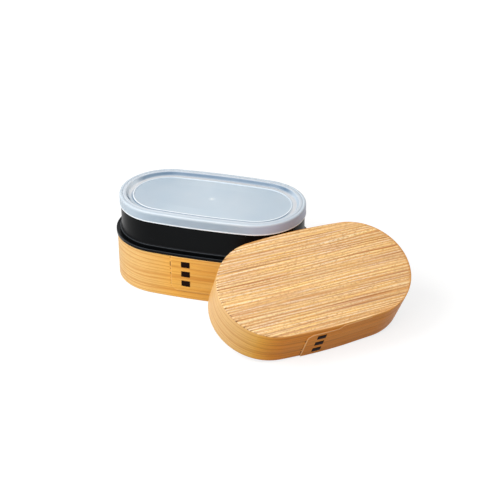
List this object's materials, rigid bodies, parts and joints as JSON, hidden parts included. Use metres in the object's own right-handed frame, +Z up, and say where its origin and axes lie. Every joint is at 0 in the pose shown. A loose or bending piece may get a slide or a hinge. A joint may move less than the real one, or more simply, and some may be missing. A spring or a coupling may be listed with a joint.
{
  "type": "bentwood lunch box",
  "caption": "Oval bentwood lunch box: laced wooden tier with a black liner, upper tray with soft inner lid, and the laced lid leaning beside it.",
  "frame": {"origin": "centre of the box's underside, on the table", "axes": "+X along the box's length towards the leaning lid's side, +Y to the back, +Z up"},
  "size_m": [0.2838, 0.2015, 0.0821],
  "materials": {
    "band_wood": "satin",
    "plate_wood": "brushed, raised grain",
    "bark": "polished bark",
    "black_plastic": "satin",
    "milky_plastic": "soft, translucent"
  },
  "bodies": {
    "lower_tier": {"lower_band": "band_wood", "lower_bottom_plate": "plate_wood", "lower_bark_lacing": "bark", "lower_liner": "black_plastic"},
    "upper_tier": {"upper_tray": "black_plastic"},
    "inner_cover": {"inner_lid": "milky_plastic"},
    "outer_lid": {"lid_band": "band_wood", "lid_top_plate": "plate_wood", "lid_bark_lacing": "bark"}
  },
  "joints": [
    {"name": "tray_lift", "type": "slide", "parent": "lower_tier", "child": "upper_tier", "axis": [0, 0, 1], "range_m": [0, 0.1]},
    {"name": "inner_lid_lift", "type": "slide", "parent": "upper_tier", "child": "inner_cover", "axis": [0, 0, 1], "range_m": [0, 0.06]},
    {"name": "outer_lid_lift", "type": "slide", "parent": "lower_tier", "child": "outer_lid", "axis": [0.3117, -0.3637, 0.8778], "range_m": [0, 0.08]}
  ]
}
